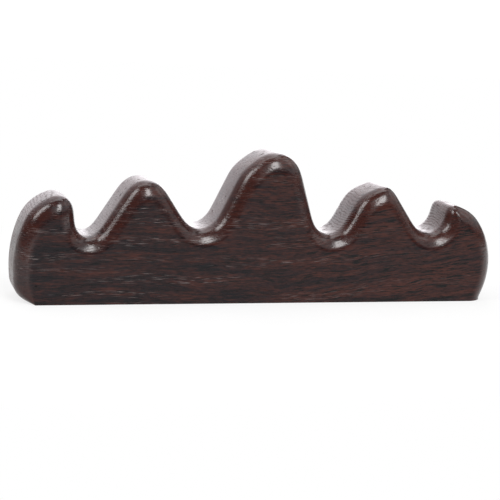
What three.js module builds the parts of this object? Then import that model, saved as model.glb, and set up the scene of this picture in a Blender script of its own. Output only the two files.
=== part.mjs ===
// Five-peak brush rest, carved from one block of dark hardwood.
// Millimetres, +Z up, X along the length, Y through the thickness, origin at the middle of the base.
import * as THREE from 'three';

// Driving sizes
const THICKNESS = 22.7;
const EDGE_ROUND = 6.3;
// Rounds between the ends and the base
const LEFT_CORNER_ROUND = 6.6;
const RIGHT_CORNER_ROUND = 1;
const PEAK_SPACING = 41.5;
// How far the sanding of the profile reaches to each side, which blends its rounds into each other
const SANDING = 2.2;

// Rounds of the profile as cut, from left to right. The peaks are meant to stand PEAK_SPACING apart:
// place counts spacings from the middle, and shift is how far the round's centre lies from there.
// level is the height of a peak round's top or of a valley round's floor.
// The piece is carved by hand, so its halves differ a little, and two of the peaks have two rounds.
const ROUNDS = [
  { name: 'left shoulder', place: -2, shift: 13.3, level: 35.1, radius: 13.3 },
  { name: 'left tip', place: -2, shift: 12.1, level: 35.6, radius: 5.0 },
  { name: 'left outer valley', place: -1.5, shift: 1.1, level: 21.4, radius: 4.4, valley: true },
  { name: 'left inner peak', place: -1, shift: -0.7, level: 40.9, radius: 7.7 },
  { name: 'left inner valley', place: -0.5, shift: -2.5, level: 24.4, radius: 6.9, valley: true },
  { name: 'middle peak, left round', place: 0, shift: -3.5, level: 47.2, radius: 7.6 },
  { name: 'middle peak, right round', place: 0, shift: 2.0, level: 50.9, radius: 9.8 },
  { name: 'right inner valley', place: 0.5, shift: 2.0, level: 22.8, radius: 6.2, valley: true },
  { name: 'right inner peak, left round', place: 1, shift: -4.1, level: 37.6, radius: 5.3 },
  { name: 'right inner peak, right round', place: 1, shift: 1.1, level: 40.3, radius: 3.9 },
  { name: 'right outer valley', place: 1.5, shift: -2.2, level: 23.4, radius: 6.5, valley: true },
  { name: 'right tip', place: 2, shift: -14.4, level: 34.2, radius: 2.0 },
  { name: 'right shoulder', place: 2, shift: -11.9, level: 32.8, radius: 9.8 },
];

// Centres of the two long end rounds, each of which runs smoothly into its shoulder
const LEFT_END = { place: -2, shift: 38.9, height: 11.2 };
const RIGHT_END = { place: 2, shift: -23.7, height: 12.2 };

// Fineness of the mesh
const ARC_STEP = THREE.MathUtils.degToRad(4);
const SANDING_STEP = 0.5;
const POINT_SPACING = 3 * SANDING_STEP;
const CORNER_STEP = THREE.MathUtils.degToRad(15);
const EDGE_STEPS = 6;
// How far towards the middle line of a narrow peak its edge may be drawn in
const RIDGE_SHARE = 0.95;
// How sharply the nearest stretch of the outline counts most in the depth of a point
const NEARNESS = 6;
// Nearer to the outline than this, a depth is simply its distance
const SOFT_FROM = 1.5 * SANDING_STEP;
// Share of the outline at each end that is mirrored below it for the depths
const MIRRORED_SHARE = 1 / 6;
// How many times its own width the sanding reaches
const SANDING_REACH = 4;

const FULL_TURN = 2 * Math.PI;
const DOWN = -Math.PI / 2;
const TINY = 1e-9;
const wrap = THREE.MathUtils.euclideanModulo;

const acrossAt = ({ place, shift }) => place * PEAK_SPACING + shift;

// A round with its centre, and with a radius that is negative in a valley
function centredRound({ place, shift, level, radius, valley }) {
  const signed = valley ? -radius : radius;
  return { x: acrossAt({ place, shift }), z: level - signed, radius: signed };
}

// An end round, with the radius at which its shoulder touches it from inside
function endRound(end, shoulder) {
  const x = acrossAt(end);
  const radius = shoulder.radius + Math.hypot(x - shoulder.x, end.height - shoulder.z);
  return { x, z: end.height, radius };
}

// Angle of the normal on the straight stretch that runs from round a to round b
function tangentAngle(a, b) {
  const dx = b.x - a.x;
  const dz = b.z - a.z;
  const lean = THREE.MathUtils.clamp((a.radius - b.radius) / Math.hypot(dx, dz), -1, 1);
  return Math.atan2(dz, dx) + Math.acos(lean);
}

// The round between an end and the base, tangent to both; side is -1 left and 1 right
function baseCorner(end, side, radius) {
  const drop = radius - end.z;
  const reach = Math.sqrt((end.radius - radius) ** 2 - drop ** 2);
  const round = { x: end.x + side * reach, z: radius, radius };
  return { round, side, angle: Math.atan2(drop, side * reach) };
}

// Points along a round from one normal angle to another, over the top of a peak and under a valley
function arcPoints(round, from, to, step) {
  const turn = round.radius > 0 ? -wrap(from - to, FULL_TURN) : wrap(to - from, FULL_TURN);
  const steps = Math.max(2, Math.ceil(Math.abs(turn) / step));
  return Array.from({ length: steps + 1 }, (_, i) => {
    const angle = from + (turn * i) / steps;
    const x = round.x + round.radius * Math.cos(angle);
    return new THREE.Vector2(x, round.z + round.radius * Math.sin(angle));
  });
}

// The same line of points with even gaps of about this size
function evenPoints(points, gap) {
  const reach = [0];
  points.slice(1).forEach((point, i) => reach.push(reach[i] + point.distanceTo(points[i])));
  const total = reach[reach.length - 1];
  const count = Math.round(total / gap);
  let at = 0;
  return Array.from({ length: count + 1 }, (_, i) => {
    const goal = (total * i) / count;
    while (at < points.length - 2 && reach[at + 1] < goal) at += 1;
    const share = (goal - reach[at]) / Math.max(reach[at + 1] - reach[at], TINY);
    return points[at].clone().lerp(points[at + 1], share);
  });
}

// Each point becomes a weighted mean of those near it; past its ends the line goes on turned half round
function sanded(points) {
  const last = points.length - 1;
  const span = Math.ceil((SANDING_REACH * SANDING) / SANDING_STEP);
  const pointAt = (i) => {
    if (i < 0) return points[0].clone().multiplyScalar(2).sub(points[-i]);
    if (i > last) return points[last].clone().multiplyScalar(2).sub(points[2 * last - i]);
    return points[i];
  };
  return points.map((_, i) => {
    const sum = new THREE.Vector2();
    let weights = 0;
    for (let k = -span; k <= span; k += 1) {
      const weight = Math.exp(-0.5 * ((k * SANDING_STEP) / SANDING) ** 2);
      sum.addScaledVector(pointAt(i + k), weight);
      weights += weight;
    }
    return sum.divideScalar(weights);
  });
}

// Each point with its way out, square to the line
function withNormals(points) {
  return points.map((at, i) => {
    const before = points[Math.max(i - 1, 0)];
    const after = points[Math.min(i + 1, points.length - 1)];
    const along = after.clone().sub(before).normalize();
    return { at, out: new THREE.Vector2(-along.y, along.x), side: 0, ball: Infinity, share: 1 };
  });
}

// Points of a base corner, each with its way out; share falls from 1 at the end to 0 at the base
function cornerPoints({ round, side, angle }, from, to) {
  const highest = 1 - Math.abs(Math.sin(angle));
  return arcPoints(round, from, to, CORNER_STEP).map((at) => {
    const out = at.clone().sub(new THREE.Vector2(round.x, round.z)).normalize();
    const share = (1 - Math.abs(out.y)) / highest;
    return { at, out, side, ball: round.radius, share, limit: Infinity };
  });
}

// How deep a ball that touches the outline at a point can grow before it meets another stretch
function ridgeLimit(point, points) {
  let limit = Infinity;
  for (const other of points) {
    const gap = other.at.clone().sub(point.at);
    const ahead = -gap.dot(point.out);
    if (ahead > TINY) limit = Math.min(limit, gap.lengthSq() / (2 * ahead));
  }
  return limit * RIDGE_SHARE;
}

// The outline from the left base corner over the peaks to the right one, and its finer line for depths
function brushRestOutline() {
  const middle = ROUNDS.map(centredRound);
  const leftEnd = endRound(LEFT_END, middle[0]);
  const rightEnd = endRound(RIGHT_END, middle[middle.length - 1]);
  const rounds = [leftEnd, ...middle, rightEnd];
  const left = baseCorner(leftEnd, -1, LEFT_CORNER_ROUND);
  const right = baseCorner(rightEnd, 1, RIGHT_CORNER_ROUND);
  const tangents = rounds.slice(1).map((round, i) => tangentAngle(rounds[i], round));
  const angles = [left.angle, ...tangents, right.angle];
  const cut = rounds.flatMap((round, i) => arcPoints(round, angles[i], angles[i + 1], ARC_STEP));
  const fine = sanded(evenPoints(cut, SANDING_STEP));
  const curve = withNormals(evenPoints(fine, POINT_SPACING));
  for (const point of curve) point.limit = ridgeLimit(point, curve);
  const points = [
    ...cornerPoints(left, DOWN, left.angle).slice(0, -1),
    ...curve,
    ...cornerPoints(right, right.angle, DOWN).slice(1),
  ];
  return { points, line: carriedOn(fine) };
}

// Where a point goes when the outline is drawn in. A base corner is rounded over as a ball,
// above a flat base.
function drawnIn({ at, out, side, ball, share }, inset) {
  const round = Math.min(inset, ball);
  return new THREE.Vector2(at.x - side * (inset - round) - out.x * round, at.y - out.y * round * share);
}

// The line with both ends carried on downwards as their own mirror image
function carriedOn(line) {
  const part = Math.round(line.length * MIRRORED_SHARE);
  const mirrored = (points, level) => points.map(({ x, y }) => new THREE.Vector2(x, 2 * level - y));
  const below = mirrored(line.slice(1, part), line[0].y);
  return [...below, ...line, ...mirrored(line.slice(-part, -1), line[line.length - 1].y)];
}

// Depth of a place inside a line. Stretches that face each other share it, which makes soft ridges.
function softDepth(place, line) {
  const sum = line.reduce((total, point) => total + place.distanceTo(point) ** -NEARNESS, 0);
  // For one long straight stretch the sum has this closed form
  const straight = (3 * Math.PI) / 8;
  return ((sum * SANDING_STEP) / straight) ** (-1 / (NEARNESS - 1));
}

// A point of the rounded edge: inset in from the outline, and as far out as the edge's round allows
function edgePoint(point, inset, side, line) {
  const place = drawnIn(point, inset);
  const soft = inset > SOFT_FROM && point.side === 0;
  const depth = Math.min(soft ? softDepth(place, line) : inset, EDGE_ROUND);
  const rise = Math.sqrt(EDGE_ROUND ** 2 - (EDGE_ROUND - depth) ** 2);
  return [place.x, side * (THICKNESS / 2 - EDGE_ROUND + rise), place.y];
}

// Rings of vertex numbers from the outline to a face. A point that is held at its limit keeps its vertex.
function edgeRings({ points, line }, side, positions) {
  const rings = [];
  for (let step = 0; step <= EDGE_STEPS; step += 1) {
    const depth = EDGE_ROUND * (1 - Math.cos((step / EDGE_STEPS) * (Math.PI / 2)));
    const before = EDGE_ROUND * (1 - Math.cos(((step - 1) / EDGE_STEPS) * (Math.PI / 2)));
    rings.push(points.map((point, i) => {
      if (step > 0 && before >= point.limit) return rings[step - 1][i];
      positions.push(...edgePoint(point, Math.min(depth, point.limit), side, line));
      return positions.length / 3 - 1;
    }));
  }
  return rings;
}

function addFace(faces, a, b, c) {
  if (a !== b && b !== c && c !== a) faces.push(a, b, c);
}

// A band between two rings, which also closes along the base
function addBand(faces, front, back) {
  front.forEach((_, i) => {
    const next = (i + 1) % front.length;
    addFace(faces, front[i], front[next], back[i]);
    addFace(faces, front[next], back[next], back[i]);
  });
}

// The flat face inside the last ring of a side
function addCap(faces, ring, side, positions) {
  const contour = [...ring].reverse();
  const flat = contour.map((v) => new THREE.Vector2(positions[3 * v], positions[3 * v + 2]));
  for (const [a, b, c] of THREE.ShapeUtils.triangulateShape(flat, [])) {
    if (side < 0) addFace(faces, contour[a], contour[b], contour[c]);
    else addFace(faces, contour[a], contour[c], contour[b]);
  }
}

function brushRestGeometry() {
  const outline = brushRestOutline();
  const positions = [];
  const faces = [];
  const front = edgeRings(outline, -1, positions);
  const back = edgeRings(outline, 1, positions);
  const rings = [...front.reverse(), ...back];
  rings.slice(1).forEach((ring, i) => addBand(faces, rings[i], ring));
  addCap(faces, rings[0], -1, positions);
  addCap(faces, rings[rings.length - 1], 1, positions);
  const geometry = new THREE.BufferGeometry();
  geometry.setAttribute('position', new THREE.Float32BufferAttribute(positions, 3));
  geometry.setIndex(faces);
  geometry.computeVertexNormals();
  return geometry;
}

const rosewood = new THREE.MeshStandardMaterial({ color: 0x3c2020, roughness: 0.35, metalness: 0 });
const brushRest = new THREE.Mesh(brushRestGeometry(), rosewood);
brushRest.name = 'brush_rest';

const part = new THREE.Group();
part.add(brushRest);

export default part;
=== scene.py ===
# Looks of the five-peak brush rest: polished rosewood on a white floor, with soft lamps and two bright walls
import math

import bmesh
import bpy
import numpy as np
from mathutils import Matrix, Vector


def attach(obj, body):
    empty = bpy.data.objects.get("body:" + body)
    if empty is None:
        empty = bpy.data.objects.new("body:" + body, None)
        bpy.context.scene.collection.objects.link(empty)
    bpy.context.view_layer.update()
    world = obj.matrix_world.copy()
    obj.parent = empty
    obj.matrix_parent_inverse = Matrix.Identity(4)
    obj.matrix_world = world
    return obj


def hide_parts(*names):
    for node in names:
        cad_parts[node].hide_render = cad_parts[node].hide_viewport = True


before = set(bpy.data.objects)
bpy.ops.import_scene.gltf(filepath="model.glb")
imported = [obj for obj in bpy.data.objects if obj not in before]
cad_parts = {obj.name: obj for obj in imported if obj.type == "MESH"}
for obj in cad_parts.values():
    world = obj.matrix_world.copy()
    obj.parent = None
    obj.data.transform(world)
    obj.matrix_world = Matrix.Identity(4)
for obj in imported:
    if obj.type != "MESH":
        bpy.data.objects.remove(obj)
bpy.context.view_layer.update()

MM = 0.001

# Sizes of the carving in millimetres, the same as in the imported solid
THICKNESS = 22.7
EDGE_ROUND = 6.3
LEFT_CORNER_ROUND = 6.6
RIGHT_CORNER_ROUND = 1.0
PEAK_SPACING = 41.5
SANDING = 2.2

# Rounds of the profile from left to right: place counts peak spacings from the middle, shift is how far
# the centre lies from there, level is a peak round's top or a valley round's floor, and a valley's
# radius is negative
ROUNDS = [
    {"name": "left shoulder", "place": -2, "shift": 13.3, "level": 35.1, "radius": 13.3},
    {"name": "left tip", "place": -2, "shift": 12.1, "level": 35.6, "radius": 5.0},
    {"name": "left outer valley", "place": -1.5, "shift": 1.1, "level": 21.4, "radius": -4.4},
    {"name": "left inner peak", "place": -1, "shift": -0.7, "level": 40.9, "radius": 7.7},
    {"name": "left inner valley", "place": -0.5, "shift": -2.5, "level": 24.4, "radius": -6.9},
    {"name": "middle peak, left round", "place": 0, "shift": -3.5, "level": 47.2, "radius": 7.6},
    {"name": "middle peak, right round", "place": 0, "shift": 2.0, "level": 50.9, "radius": 9.8},
    {"name": "right inner valley", "place": 0.5, "shift": 2.0, "level": 22.8, "radius": -6.2},
    {"name": "right inner peak, left round", "place": 1, "shift": -4.1, "level": 37.6, "radius": 5.3},
    {"name": "right inner peak, right round", "place": 1, "shift": 1.1, "level": 40.3, "radius": 3.9},
    {"name": "right outer valley", "place": 1.5, "shift": -2.2, "level": 23.4, "radius": -6.5},
    {"name": "right tip", "place": 2, "shift": -14.4, "level": 34.2, "radius": 2.0},
    {"name": "right shoulder", "place": 2, "shift": -11.9, "level": 32.8, "radius": 9.8},
]
LEFT_END = {"place": -2, "shift": 38.9, "height": 11.2}
RIGHT_END = {"place": 2, "shift": -23.7, "height": 12.2}

# Fineness of the mesh, in millimetres, degrees or counts
ARC_STEP = math.radians(2)
SANDING_STEP = 0.25
SANDING_REACH = 4
POINT_SPACING = 0.5
EDGE_STEPS = 20
FLAT_MARGIN = 0.6
WELD_GAP = 0.001
SHARP_ANGLE = math.radians(55)

# Ridges, where the roundings of two stretches of the outline meet: how much of the way to the ridge a
# point may go, the least distance ahead that counts, the power with which near stretches count more,
# the depth from which they share it, and the number of parts of which one is carried on at each end
RIDGE_SHARE = 0.97
LEAST_AHEAD = 0.0001
NEARNESS = 6
SOFT_FROM = 1.5 * SANDING_STEP
CARRIED_PARTS = 6

# Camera, fitted to the outlines in the photo
CAMERA_YAW = math.radians(17.83)
CAMERA_RISE = math.radians(11.34)
CAMERA_ROLL = math.radians(3.74)
CAMERA_DISTANCE = 462.7 * MM
CAMERA_SIDE = -3.64 * MM
CAMERA_LIFT = -8.74 * MM
CAMERA_NEAREST = 0.01
LOOK_AT = Vector((0, 0, 25 * MM))
SENSOR = 36
FOCAL_LENGTH = 96.78

# Lamps: degrees from the front towards the right, degrees up, distance and size in metres, and how
# bright they look
LAMPS = [
    {"name": "front softbox", "around": 9, "above": 46, "distance": 1.2, "size": (0.36, 0.8), "glow": 6.0},
    {"name": "front screen", "around": 12, "above": 46, "distance": 1.25, "size": (0.62, 0.95), "glow": 1.1},
    {"name": "wide softbox", "around": 34, "above": 46, "distance": 1.35, "size": (2.4, 1.6), "glow": 0.45},
    {"name": "side fill", "around": 105, "above": 34, "distance": 1.6, "size": (1.5, 1.2), "glow": 0.4},
    {"name": "top panel", "around": 180, "above": 76, "distance": 1.4, "size": (1.2, 0.35), "glow": 1.8},
    {"name": "left softbox", "around": -79, "above": 44, "distance": 1.2, "size": (0.42, 0.7), "glow": 5.2},
]

# Glowing white walls between two places of the floor, in metres: foot is the height where they start,
# glow their brightness at the floor and at GLOW_TOP, and sides the share of it at both WALL_TURN places
WALLS = [
    {"name": "back wall", "ends": ((0.72, 1.2), (-0.95, 1.2)), "foot": 0, "glow": (2.2, 1.85),
     "sides": (0.66, 1.12)},
    {"name": "side wall", "ends": ((-0.95, 1.2), (-1.5, 0.45)), "foot": 0.38, "glow": (0.2, 0.85),
     "sides": (1.0, 1.0)},
]
WALL_TINT = (1.0, 0.965, 1.0, 1)
WALL_TOP = 3
WALL_TURN = (-0.1, 0.7)
GLOW_TOP = 1.2

# Floor, in metres and shares: lit as the carving is near the middle, whiter farther off, and plain white
# from FLOOR_FAR on; FLOOR_NEAR is below 0, so that even the middle has a share of white
FLOOR_WHITE = 0.95
FLOOR_ROUGHNESS = 0.9
FLOOR_NEAR = -0.25
FLOOR_FAR = 0.12
FLOOR_OVAL = (0.4, 1, 1)
FLOOR_STRAY_LIGHT = 0.5
FLOOR_SPAN = 20
FLOOR_DROP = 0.02 * MM
ROOM_LIGHT = 0.14

# Colours of the wood, in linear light
SLATE_BROWN = (0.0080, 0.0058, 0.0082, 1)
GREY_BROWN = (0.0310, 0.0118, 0.0123, 1)
RED_BROWN = (0.0740, 0.0215, 0.0155, 1)
# Red of the rounded edge: partly real red patches in the wood and partly painted light, laid on most where
# the edge faces left and catches the light
EDGE_STAIN_AND_PAINTED_LIGHT = (0.0480, 0.0090, 0.0052, 1)
DARK_PORE = (0.0020, 0.0016, 0.0020, 1)
PALE_PORE = (0.22, 0.175, 0.17, 1)
WOOD_TONES = [(0.43, SLATE_BROWN), (0.5, GREY_BROWN), (0.6, RED_BROWN)]

# How far the grain waves up and down, and how far it rises towards the right end
GRAIN_WAVE = 1.3 * MM
GRAIN_RIPPLE = 0.45 * MM
GRAIN_RISE = 8 * MM

# Depth of the fibres, of the pits in the polish and of the fine lines across the edge strip, where the
# cut crosses the layers of the wood; the wobble is in radians of the wave that draws the lines, and
# from the crest on a line is full
FIBRE_DEPTH = 0.012 * MM
PIT_DEPTH = 0.02 * MM
LAYER_DEPTH = 0.055 * MM
LAYER_GAP = 0.8 * MM
LAYER_WOBBLE = 8.0
LAYER_CREST = 0.9

# Marks in the wood: length, depth and height in millimetres, fineness of detail, and the two levels of
# the noise between which the mark changes from one of its values to the other
MARKS = {
    "wave": {"size": (75, 40, 26), "detail": 2, "levels": (0.3, 0.7)},
    "ripple": {"size": (17, 10, 8), "detail": 1, "levels": (0.3, 0.7)},
    "cloud": {"size": (34, 11, 4), "detail": 2},
    "streak": {"size": (20, 5, 1.3), "detail": 2},
    "fibre": {"size": (6, 2.5, 0.45), "detail": 2, "distortion": 0.15},
    "grain": {"size": (1.8, 1.2, 0.26), "detail": 2},
    "stain": {"size": (16, 8, 4), "detail": 2, "levels": (0.36, 0.6)},
    "fleck": {"size": (2.6, 1.2, 0.27), "detail": 1, "levels": (0.5, 0.66)},
    "dark line": {"size": (5.5, 2.5, 0.36), "detail": 1, "levels": (0.58, 0.63), "distortion": 0.3},
    "thread": {"size": (4.5, 2, 0.1), "detail": 0, "levels": (0.68, 0.76)},
    "thread patch": {"size": (60, 12, 4), "detail": 1, "levels": (0.5, 0.58)},
    "layer wobble": {"size": (10, 3.6, 2.2), "detail": 1},
    "layer patch": {"size": (5, 3, 1.6), "detail": 2, "levels": (0.38, 0.56)},
    "pore": {"size": (1.7, 1.9, 0.8), "detail": 0, "levels": (0.73, 0.79)},
    "raised fibre": {"size": (8, 3, 0.6), "detail": 1},
    "pit": {"size": (1.8, 0.9, 0.6), "detail": 1, "levels": (0.34, 0.46)},
    "wear": {"size": (22, 9, 6), "detail": 3, "levels": (0.3, 0.7)},
}
TONE_SHARES = {"streak": 0.18, "cloud": 0.33, "fibre": 0.21, "grain": 0.28}

# What changes from place to place: the axis, two places on it in millimetres, and the value at each
CHANGES = {
    "ripple": ("X", -40, 60, 0.15, 1.5),
    "rise": ("X", 5, 85, 0.0, -GRAIN_RISE),
    "warmer to the right": ("X", -60, 75, -0.012, 0.054),
    "warmer upwards": ("Z", 12, 45, 0.0, 0.03),
    "dark lines": ("X", -30, 30, 0.6, 1.0),
    "threads": ("X", -10, 50, 1.0, 0.2),
    "layers on the left": ("X", -66, -52, 0.8, 0.22),
    "layers on the right": ("X", 15, 32, 0.22, 1.0),
    "layers near the tops": ("Z", 29, 40, 1.0, 0.35),
    "dull left end": ("X", -45, 30, 1.0, 0.0),
    "worn tops": ("Z", 24, 37, 0.0, 1.0),
    "front of the strip": ("Y", -6.5, 1, 1.0, 0.0),
    "polish near the base": ("Z", 4, 20, 0.4, 1.0),
}

# Ways that the parts of the surface face: how much to the front or back for the rounded edge and the
# strip between both edges, and to the side for the left end, the slopes and the red stain and painted light
EDGE_FACING = (0.93, 0.995)
STRIP_FACING = (0.2, 0.5)
LEFT_END_FACING = (-1.0, -0.3)
SLOPE_FACING = (0.3, 0.7)
# Painted light: the red on the edge grows between these two ways of facing, towards the left
STAIN_AND_LIGHT_FACING = (-0.3, 0.2)

# Strength of the marks: on slopes that face left and right (the red stain's painted light), where they are
# weakest, and on the edge
# Painted light: the red on the edge is this strong where the edge faces left and where it faces right
STAIN_AND_LIGHT_LEFT_RIGHT = (0.95, 0.4)
STAIN_LEAST = 0.35
FLECK_MOST = 0.56
FLECK_ON_EDGE = 0.45
DARK_LINE_ON_EDGE = 0.4
LAYER_LEAST = 0.3

# Gloss of the wood, and the share of the polish that is left where something dulls it
WOOD_IOR = 1.34
WOOD_ROUGHNESS = (0.14, 0.22)
END_ROUGHNESS = 0.14
LINE_ROUGHNESS = 0.2
POLISH_ROUGHNESS = 0.18
POLISH_IN_PITS = 0.5
POLISH_ON_LINES = 0.4
POLISH_ON_LEFT_END = 0.3
POLISH_ON_WORN_TOPS = 0.66
POLISH_AT_FRONT = 0.7


# Profile

def centred(round_):
    """Centre and radius of a round, in millimetres"""
    x = round_["place"] * PEAK_SPACING + round_["shift"]
    return (x, round_["level"] - round_["radius"], round_["radius"])


def end_round(end, shoulder):
    """The large round of an end, which touches the shoulder's from outside"""
    x = end["place"] * PEAK_SPACING + end["shift"]
    gap = math.hypot(x - shoulder[0], end["height"] - shoulder[1])
    return (x, end["height"], shoulder[2] + gap)


def tangent_angle(a, b):
    """Direction from both centres to the line that touches the two rounds"""
    dx = b[0] - a[0]
    dz = b[1] - a[1]
    lean = max(-1.0, min(1.0, (a[2] - b[2]) / math.hypot(dx, dz)))
    return math.atan2(dz, dx) + math.acos(lean)


def base_corner(end, side, radius):
    """The round between an end and the base, and the direction in which the two rounds touch"""
    drop = radius - end[1]
    gap = math.sqrt((end[2] - radius) ** 2 - drop ** 2)
    return (end[0] + side * gap, radius, radius), math.atan2(drop, side * gap)


def arc(round_, start, stop):
    """Points on a round, clockwise on a peak and anticlockwise in a valley"""
    full = 2 * math.pi
    turn = -((start - stop) % full) if round_[2] > 0 else (stop - start) % full
    steps = max(2, math.ceil(abs(turn) / ARC_STEP))
    angles = start + turn * np.linspace(0, 1, steps + 1)
    return np.array(round_[:2]) + round_[2] * np.stack([np.cos(angles), np.sin(angles)], axis=1)


def even_points(points, gap):
    """The same line of points with even gaps of about this size"""
    length = np.concatenate([[0], np.cumsum(np.hypot(*np.diff(points, axis=0).T))])
    goals = np.linspace(0, length[-1], round(length[-1] / gap) + 1)
    return np.stack([np.interp(goals, length, points[:, i]) for i in (0, 1)], axis=1)


def sanded(points):
    """Each point as a weighted mean of those near it, with the line turned half round past its ends"""
    span = math.ceil(SANDING_REACH * SANDING / SANDING_STEP)
    before = 2 * points[0] - points[span:0:-1]
    after = 2 * points[-1] - points[-2:-span - 2:-1]
    line = np.concatenate([before, points, after])
    weights = np.exp(-0.5 * (np.arange(-span, span + 1) * SANDING_STEP / SANDING) ** 2)
    weights /= weights.sum()
    return np.stack([np.convolve(line[:, i], weights, mode="valid") for i in (0, 1)], axis=1)


def carried_on(line):
    """The line with both ends carried on downwards as their own mirror image"""
    part = round(len(line) / CARRIED_PARTS)
    below_left = line[1:part] * (1, -1) + (0, 2 * line[0, 1])
    below_right = line[-part:-1] * (1, -1) + (0, 2 * line[-1, 1])
    return np.concatenate([below_left, line, below_right])


def curve_points(points):
    """Places, ways out, side, ball, share and limit of the points between the base corners"""
    along = np.gradient(points, axis=0)
    along /= np.hypot(*along.T)[:, None]
    out = np.stack([-along[:, 1], along[:, 0]], axis=1)
    count = len(points)
    return points, out, np.zeros(count), np.full(count, np.inf), np.ones(count), ridge_limit(points, out)


def corner_points(centre, angle, side, start, stop):
    """The same for a base corner, where share falls from 1 at the end to 0 at the base"""
    points = arc(centre, start, stop)
    out = (points - centre[:2]) / centre[2]
    share = (1 - np.abs(out[:, 1])) / (1 - abs(math.sin(angle)))
    count = len(points)
    return points, out, np.full(count, side), np.full(count, centre[2]), share, np.full(count, np.inf)


def ridge_limit(points, out):
    """How deep a ball that touches the outline at a point can grow before it meets another stretch"""
    gap = points[None] - points[:, None]
    ahead = -(gap * out[:, None]).sum(2)
    size = (gap ** 2).sum(2)
    with np.errstate(divide="ignore", invalid="ignore"):
        limit = np.where(ahead > LEAST_AHEAD, size / (2 * ahead), np.inf)
    return limit.min(1) * RIDGE_SHARE


def outline():
    """The outline from the left base corner over the peaks to the right one, and its finer line"""
    middle = [centred(r) for r in ROUNDS]
    rounds = [end_round(LEFT_END, middle[0]), *middle, end_round(RIGHT_END, middle[-1])]
    left, left_angle = base_corner(rounds[0], -1, LEFT_CORNER_ROUND)
    right, right_angle = base_corner(rounds[-1], 1, RIGHT_CORNER_ROUND)
    angles = [left_angle, *(tangent_angle(a, b) for a, b in zip(rounds, rounds[1:])), right_angle]
    cut = np.concatenate([arc(r, a, b) for r, a, b in zip(rounds, angles, angles[1:])])
    fine = sanded(even_points(cut, SANDING_STEP))
    down = -math.pi / 2
    parts = zip(
        [values[:-1] for values in corner_points(left, left_angle, -1, down, left_angle)],
        curve_points(even_points(fine, POINT_SPACING)),
        [values[1:] for values in corner_points(right, right_angle, 1, right_angle, down)],
    )
    return [np.concatenate(part) for part in parts], carried_on(fine)


# Mesh of the carving

def soft_depth(places, line):
    """Depth inside the line; stretches that face each other share it, which makes soft ridges"""
    far = np.hypot(*(places[:, None] - line[None]).transpose(2, 0, 1))
    # What a straight line 1 mm away adds up to when NEARNESS is 6
    straight = 3 * math.pi / 8
    with np.errstate(divide="ignore"):
        nearness = (far ** -NEARNESS).sum(1) * SANDING_STEP / straight
    return nearness ** (-1 / (NEARNESS - 1))


def edge_ring(points, line, depth):
    """Places and rise of the outline drawn in by depth; a base corner is rounded over as a ball"""
    at, out, side, ball, share, limit = points
    inset = np.minimum(depth, limit)
    round_ = np.minimum(inset, ball)
    x = at[:, 0] - side * (inset - round_) - out[:, 0] * round_
    places = np.stack([x, at[:, 1] - out[:, 1] * round_ * share], axis=1)
    soft = (inset > SOFT_FROM) & (side == 0)
    sunk = np.where(soft, soft_depth(places, line), inset)
    left = np.maximum(EDGE_ROUND - sunk, 0)
    return places, np.sqrt(EDGE_ROUND ** 2 - left ** 2)


def edge_rings():
    """Rings of points from the flat part of the front face over the edge to that of the back face"""
    points, line = outline()
    turns = np.linspace(0, math.pi / 2, EDGE_STEPS + 1)
    depths = [*(EDGE_ROUND * (1 - np.cos(turns))), EDGE_ROUND + FLAT_MARGIN]
    inwards = [edge_ring(points, line, depth) for depth in depths]
    flat = THICKNESS / 2 - EDGE_ROUND
    rings = []
    for side, order in ((-1, inwards[::-1]), (1, inwards)):
        for places, rise in order:
            rings.append(np.stack([places[:, 0], side * (flat + rise), places[:, 1]], axis=1))
    return rings


def band_faces(rings, count):
    """Four-sided faces between neighbouring rings, and one large face at the front and the back"""
    faces = []
    for ring in range(rings - 1):
        for i in range(count):
            a = ring * count + i
            b = ring * count + (i + 1) % count
            faces.append((a, b, b + count, a + count))
    last = (rings - 1) * count
    return [*faces, tuple(range(count))[::-1], tuple(range(last, last + count))]


def carving_mesh():
    """The rings joined by faces, smooth except where the surface turns by more than SHARP_ANGLE"""
    rings = edge_rings()
    mesh = bpy.data.meshes.new("carving")
    corners = (np.concatenate(rings) * MM).tolist()
    mesh.from_pydata(corners, [], band_faces(len(rings), len(rings[0])))
    welded = bmesh.new()
    welded.from_mesh(mesh)
    bmesh.ops.remove_doubles(welded, verts=welded.verts, dist=WELD_GAP * MM)
    welded.to_mesh(mesh)
    welded.free()
    mesh.shade_smooth()
    mesh.set_sharp_from_angle(angle=SHARP_ANGLE)
    return mesh


# Nodes

def add_node(tree, kind, **values):
    """A node of this kind with these settings and inputs"""
    node = tree.nodes.new(kind)
    for name, value in values.items():
        if name in node.inputs:
            node.inputs[name].default_value = value
        else:
            setattr(node, name, value)
    return node


def maths(tree, operation, *sources):
    """The result of an operation on numbers and on outputs of nodes"""
    node = add_node(tree, "ShaderNodeMath", operation=operation)
    for socket, source in zip(node.inputs, sources):
        if isinstance(source, float):
            socket.default_value = source
        else:
            tree.links.new(source, socket)
    return node.outputs["Value"]


def product(tree, *shares):
    """All of these multiplied"""
    total = shares[0]
    for share in shares[1:]:
        total = maths(tree, "MULTIPLY", total, share)
    return total


def remap(tree, source, low, high, start=0.0, stop=1.0):
    """Maps low to start and high to stop, and holds there"""
    node = add_node(tree, "ShaderNodeMapRange")
    for name, value in (("From Min", low), ("From Max", high), ("To Min", start), ("To Max", stop)):
        node.inputs[name].default_value = value
    tree.links.new(source, node.inputs["Value"])
    return node.outputs["Result"]


def lessened(tree, share, rest):
    """1 where share is 0, and rest where share is 1"""
    return remap(tree, share, 0.0, 1.0, 1.0, rest)


def coordinate(tree, vector, axis):
    """One of the three numbers of a vector"""
    split = add_node(tree, "ShaderNodeSeparateXYZ")
    tree.links.new(vector, split.inputs[0])
    return split.outputs[axis]


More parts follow.
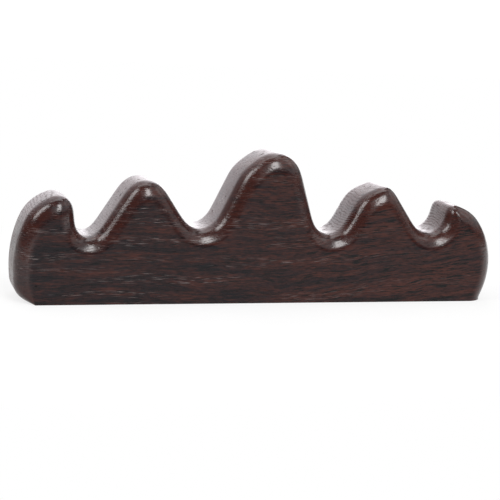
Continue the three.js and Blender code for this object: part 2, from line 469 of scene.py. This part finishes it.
def place(tree, axis):
    """One coordinate of the place on the object, in metres"""
    return coordinate(tree, add_node(tree, "ShaderNodeTexCoord").outputs["Object"], axis)


def facing(tree, axis):
    """How much the surface faces along an axis of the object, from -1 to 1"""
    return coordinate(tree, add_node(tree, "ShaderNodeTexCoord").outputs["Normal"], axis)


def change(tree, name):
    """A value that changes from place to place, as CHANGES says"""
    axis, low, high, start, stop = CHANGES[name]
    return remap(tree, place(tree, axis), low * MM, high * MM, start, stop)


def noise(tree, space, name):
    """Noise from 0 to 1 with marks of the size that MARKS says"""
    kind = MARKS[name]
    mapping = add_node(tree, "ShaderNodeMapping", Scale=[1 / (side * MM) for side in kind["size"]])
    tree.links.new(space, mapping.inputs["Vector"])
    bend = kind.get("distortion", 0.0)
    texture = add_node(tree, "ShaderNodeTexNoise", Scale=1.0, Detail=kind["detail"], Distortion=bend)
    tree.links.new(mapping.outputs["Vector"], texture.inputs["Vector"])
    return texture.outputs["Fac"]


def mark(tree, space, name, start=0.0, stop=1.0):
    """Noise that goes from start to stop between its two levels"""
    return remap(tree, noise(tree, space, name), *MARKS[name]["levels"], start, stop)


def painted(tree, base, share, colour):
    """The base colour with another laid over it where share is high"""
    mix = add_node(tree, "ShaderNodeMix", data_type="RGBA")
    tree.links.new(share, mix.inputs["Factor"])
    # Inputs 6 and 7 and output 2 are the ones for colours
    tree.links.new(base, mix.inputs[6])
    mix.inputs[7].default_value = colour
    return mix.outputs[2]


def ramp(tree, source, stops):
    """The colour at a value from 0 to 1, mixed between the stops on both sides of it"""
    node = add_node(tree, "ShaderNodeValToRGB")
    elements = node.color_ramp.elements
    while len(elements) < len(stops):
        elements.new(0.5)
    for element, (position, colour) in zip(elements, stops):
        element.position = position
        element.color = colour
    tree.links.new(source, node.inputs["Fac"])
    return node.outputs["Color"]


# Wood

def grain_space(tree):
    """Places in the block, pushed up and down so that level lines in it wave as the grain does"""
    where = add_node(tree, "ShaderNodeTexCoord").outputs["Object"]
    wave = mark(tree, where, "wave", -GRAIN_WAVE, GRAIN_WAVE)
    ripple = product(tree, mark(tree, where, "ripple", -GRAIN_RIPPLE, GRAIN_RIPPLE), change(tree, "ripple"))
    push = add_node(tree, "ShaderNodeCombineXYZ")
    height = maths(tree, "ADD", maths(tree, "ADD", wave, ripple), change(tree, "rise"))
    tree.links.new(height, push.inputs["Z"])
    moved = add_node(tree, "ShaderNodeVectorMath", operation="ADD")
    tree.links.new(where, moved.inputs[0])
    tree.links.new(push.outputs["Vector"], moved.inputs[1])
    return moved.outputs["Vector"]


def wood_tone(tree, space):
    """Noise of several sizes added up, a little warmer to the right and upwards"""
    tone = change(tree, "warmer to the right")
    for name, share in TONE_SHARES.items():
        tone = maths(tree, "MULTIPLY_ADD", noise(tree, space, name), share, tone)
    return maths(tree, "ADD", tone, change(tree, "warmer upwards"))


def red_stain_and_painted_light(tree, space, edge):
    """Red patches on the rounded edge, partly the wood's own colour and partly painted light: strongest
    where the edge faces left and the light falls on it
    """
    lit_leftward = remap(tree, facing(tree, "X"), *STAIN_AND_LIGHT_FACING, *STAIN_AND_LIGHT_LEFT_RIGHT)
    return product(tree, edge, lit_leftward, mark(tree, space, "stain", STAIN_LEAST, 1.0))


def wood_colour(tree, space, edge):
    """Slate and brown bands with fine grain, redder on the rounded edge from a red stain and painted light,
    dark lines and thin pale ones
    """
    fleck = product(tree, mark(tree, space, "fleck", 0.0, FLECK_MOST), lessened(tree, edge, FLECK_ON_EDGE))
    line = product(tree, mark(tree, space, "dark line"), change(tree, "dark lines"))
    line = product(tree, line, lessened(tree, edge, DARK_LINE_ON_EDGE))
    thread = product(tree, mark(tree, space, "thread"), mark(tree, space, "thread patch"))
    thread = product(tree, thread, change(tree, "threads"))
    wood = ramp(tree, wood_tone(tree, space), WOOD_TONES)
    # Painted light: red laid on the rounded edge, strongest where it faces left, together with real red
    # patches
    wood = painted(tree, wood, red_stain_and_painted_light(tree, space, edge), EDGE_STAIN_AND_PAINTED_LIGHT)
    wood = painted(tree, wood, fleck, DARK_PORE)
    wood = painted(tree, wood, line, DARK_PORE)
    return painted(tree, wood, thread, PALE_PORE)


def layer_lines(tree, space):
    """Fine wavy lines one above the other, in patches, plainest on the right and at the left end"""
    wobble = maths(tree, "MULTIPLY", noise(tree, space, "layer wobble"), LAYER_WOBBLE)
    turns = maths(tree, "MULTIPLY_ADD", coordinate(tree, space, "Z"), 2 * math.pi / LAYER_GAP, wobble)
    line = remap(tree, maths(tree, "SINE", turns), 0.0, LAYER_CREST)
    right = product(tree, change(tree, "layers on the right"), change(tree, "layers near the tops"))
    strength = maths(tree, "MAXIMUM", change(tree, "layers on the left"), right)
    return product(tree, line, mark(tree, space, "layer patch", LAYER_LEAST, 1.0), strength)


def wood_normal(tree, space, lines, pits):
    """The surface with raised fibres, small pits and sunk lines"""
    fibres = maths(tree, "MULTIPLY", noise(tree, space, "raised fibre"), FIBRE_DEPTH)
    relief = maths(tree, "MULTIPLY_ADD", pits, -PIT_DEPTH, fibres)
    relief = maths(tree, "MULTIPLY_ADD", lines, -LAYER_DEPTH, relief)
    bump = add_node(tree, "ShaderNodeBump", Strength=1.0, Distance=1.0)
    tree.links.new(relief, bump.inputs["Height"])
    return bump.outputs["Normal"]


def wood_roughness(tree, space, left_end, lines):
    """Roughness that varies with wear, and is higher on the left end's cut fibres and in the lines"""
    roughness = mark(tree, space, "wear", *WOOD_ROUGHNESS)
    roughness = maths(tree, "MULTIPLY_ADD", left_end, END_ROUGHNESS, roughness)
    return maths(tree, "MULTIPLY_ADD", lines, LINE_ROUGHNESS, roughness)


def polish(tree, edge, strip, left_end, lines, pits):
    """How strong the polish is: none on the flat faces, and less where the edge is worn or cut across"""
    slope = remap(tree, maths(tree, "ABSOLUTE", facing(tree, "X")), *SLOPE_FACING)
    dulled = [
        (pits, POLISH_IN_PITS),
        (lines, POLISH_ON_LINES),
        (product(tree, left_end, change(tree, "dull left end")), POLISH_ON_LEFT_END),
        (product(tree, strip, change(tree, "worn tops")), POLISH_ON_WORN_TOPS),
        (product(tree, strip, slope, change(tree, "front of the strip")), POLISH_AT_FRONT),
    ]
    near_base = maths(tree, "MAXIMUM", strip, change(tree, "polish near the base"))
    return product(tree, edge, near_base, *(lessened(tree, share, rest) for share, rest in dulled))


def rosewood():
    material = bpy.data.materials.new("rosewood")
    material.use_nodes = True
    tree = material.node_tree
    shader = tree.nodes["Principled BSDF"]
    space = grain_space(tree)
    frontward = maths(tree, "ABSOLUTE", facing(tree, "Y"))
    edge = remap(tree, frontward, *EDGE_FACING, 1.0, 0.0)
    strip = remap(tree, frontward, *STRIP_FACING, 1.0, 0.0)
    left_end = remap(tree, facing(tree, "X"), *LEFT_END_FACING, 1.0, 0.0)
    pits = mark(tree, space, "pit", 1.0, 0.0)
    lines = maths(tree, "MAXIMUM", layer_lines(tree, space), mark(tree, space, "pore"))
    lines = product(tree, strip, lines)
    normal = wood_normal(tree, space, lines, pits)
    tree.links.new(wood_colour(tree, space, edge), shader.inputs["Base Color"])
    tree.links.new(normal, shader.inputs["Normal"])
    tree.links.new(normal, shader.inputs["Coat Normal"])
    tree.links.new(wood_roughness(tree, space, left_end, lines), shader.inputs["Roughness"])
    tree.links.new(polish(tree, edge, strip, left_end, lines, pits), shader.inputs["Coat Weight"])
    shader.inputs["Coat Roughness"].default_value = POLISH_ROUGHNESS
    shader.inputs["IOR"].default_value = WOOD_IOR
    return material


def carving():
    piece = bpy.data.objects.new("carving", carving_mesh())
    bpy.context.scene.collection.objects.link(piece)
    piece.data.materials.append(rosewood())
    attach(piece, "root")
    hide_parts("brush_rest")


# Camera

def way_out(around, above):
    """Way from the carving, turned from the front to the right and raised by these angles"""
    level = math.cos(above)
    return Vector((math.sin(around) * level, -math.cos(around) * level, math.sin(above)))


def camera():
    """A camera turned to the left by CAMERA_YAW, raised, and rolled round the way that it looks"""
    back = way_out(-CAMERA_YAW, CAMERA_RISE)
    right = Vector((math.cos(CAMERA_YAW), -math.sin(CAMERA_YAW), 0))
    up = back.cross(right)
    side = right * math.cos(CAMERA_ROLL) + up * math.sin(CAMERA_ROLL)
    top = up * math.cos(CAMERA_ROLL) - right * math.sin(CAMERA_ROLL)
    eye = LOOK_AT + back * CAMERA_DISTANCE + side * CAMERA_SIDE + top * CAMERA_LIFT
    data = bpy.data.cameras.new("camera")
    data.lens = FOCAL_LENGTH
    data.sensor_width = SENSOR
    data.clip_start = CAMERA_NEAREST
    holder = bpy.data.objects.new("camera", data)
    holder.matrix_world = Matrix.Translation(eye) @ Matrix((side, top, back)).transposed().to_4x4()
    bpy.context.scene.collection.objects.link(holder)
    bpy.context.scene.camera = holder


# Lights and ground

def lamp(name, around, above, distance, size, glow):
    """A soft light panel that is equally bright all over"""
    data = bpy.data.lights.new(name, "AREA")
    data.shape = "RECTANGLE"
    data.size = size[0]
    data.size_y = size[1]
    data.energy = glow * math.pi * size[0] * size[1]
    holder = bpy.data.objects.new(name, data)
    way = way_out(math.radians(around), math.radians(above))
    holder.location = LOOK_AT + way * distance
    holder.rotation_euler = (-way).to_track_quat("-Z", "Y").to_euler()
    bpy.context.scene.collection.objects.link(holder)


def sheet(name, corners, material):
    """A flat four-sided piece of the stage"""
    mesh = bpy.data.meshes.new(name)
    mesh.from_pydata(corners, [], [(0, 1, 2, 3)])
    mesh.materials.append(material)
    holder = bpy.data.objects.new(name, mesh)
    bpy.context.scene.collection.objects.link(holder)
    return holder


def seen_share(tree):
    """1 for what is seen, straight or in something polished or clear, and 0 for stray light"""
    path = add_node(tree, "ShaderNodeLightPath").outputs
    through = maths(tree, "MAXIMUM", path["Is Glossy Ray"], path["Is Transmission Ray"])
    return maths(tree, "MAXIMUM", path["Is Camera Ray"], through)


def wall(name, ends, foot, glow, sides):
    """A wall that glows, for the polish to mirror"""
    material = bpy.data.materials.new(name)
    material.use_nodes = True
    tree = material.node_tree
    tree.nodes.remove(tree.nodes["Principled BSDF"])
    light = add_node(tree, "ShaderNodeEmission", Color=WALL_TINT)
    upwards = remap(tree, place(tree, "Z"), 0.0, GLOW_TOP, *glow)
    across = remap(tree, place(tree, "X"), *WALL_TURN, *sides)
    tree.links.new(product(tree, upwards, across), light.inputs["Strength"])
    tree.links.new(light.outputs[0], tree.nodes["Material Output"].inputs["Surface"])
    (x1, y1), (x2, y2) = ends
    sheet(name, [(x1, y1, foot), (x2, y2, foot), (x2, y2, WALL_TOP), (x1, y1, WALL_TOP)], material)


def floor_distance(tree):
    """Distance from the middle of the floor, counted less towards the sides"""
    around = add_node(tree, "ShaderNodeVectorMath", operation="MULTIPLY")
    around.inputs[1].default_value = FLOOR_OVAL
    tree.links.new(add_node(tree, "ShaderNodeTexCoord").outputs["Object"], around.inputs[0])
    far = add_node(tree, "ShaderNodeVectorMath", operation="LENGTH")
    tree.links.new(around.outputs[0], far.inputs[0])
    return far.outputs["Value"]


def white_floor():
    """White and lit like the rest near the carving, so that its shadow shows, and plain white farther off"""
    material = bpy.data.materials.new("white floor")
    material.use_nodes = True
    tree = material.node_tree
    shader = tree.nodes["Principled BSDF"]
    shader.inputs["Base Color"].default_value = (FLOOR_WHITE, FLOOR_WHITE, FLOOR_WHITE, 1)
    shader.inputs["Roughness"].default_value = FLOOR_ROUGHNESS
    shader.inputs["Specular IOR Level"].default_value = 0
    white = add_node(tree, "ShaderNodeEmission", Color=(1, 1, 1, 1))
    tree.links.new(maths(tree, "MAXIMUM", seen_share(tree), FLOOR_STRAY_LIGHT), white.inputs["Strength"])
    mix = add_node(tree, "ShaderNodeMixShader")
    tree.links.new(remap(tree, floor_distance(tree), FLOOR_NEAR, FLOOR_FAR), mix.inputs[0])
    tree.links.new(shader.outputs[0], mix.inputs[1])
    tree.links.new(white.outputs[0], mix.inputs[2])
    tree.links.new(mix.outputs[0], tree.nodes["Material Output"].inputs["Surface"])
    return material


def floor():
    span = FLOOR_SPAN
    corners = [(-span, -span, 0), (span, -span, 0), (span, span, 0), (-span, span, 0)]
    sheet("floor", corners, white_floor()).location.z = -FLOOR_DROP


def room():
    """Dim light from all around"""
    world = bpy.data.worlds.new("room")
    world.use_nodes = True
    light = world.node_tree.nodes["Background"]
    light.inputs["Color"].default_value = (1, 1, 1, 1)
    light.inputs["Strength"].default_value = ROOM_LIGHT
    bpy.context.scene.world = world


carving()
camera()
for row in LAMPS:
    lamp(**row)
for row in WALLS:
    wall(**row)
floor()
room()
bpy.context.scene.view_settings.view_transform = "Standard"
bpy.context.view_layer.update()
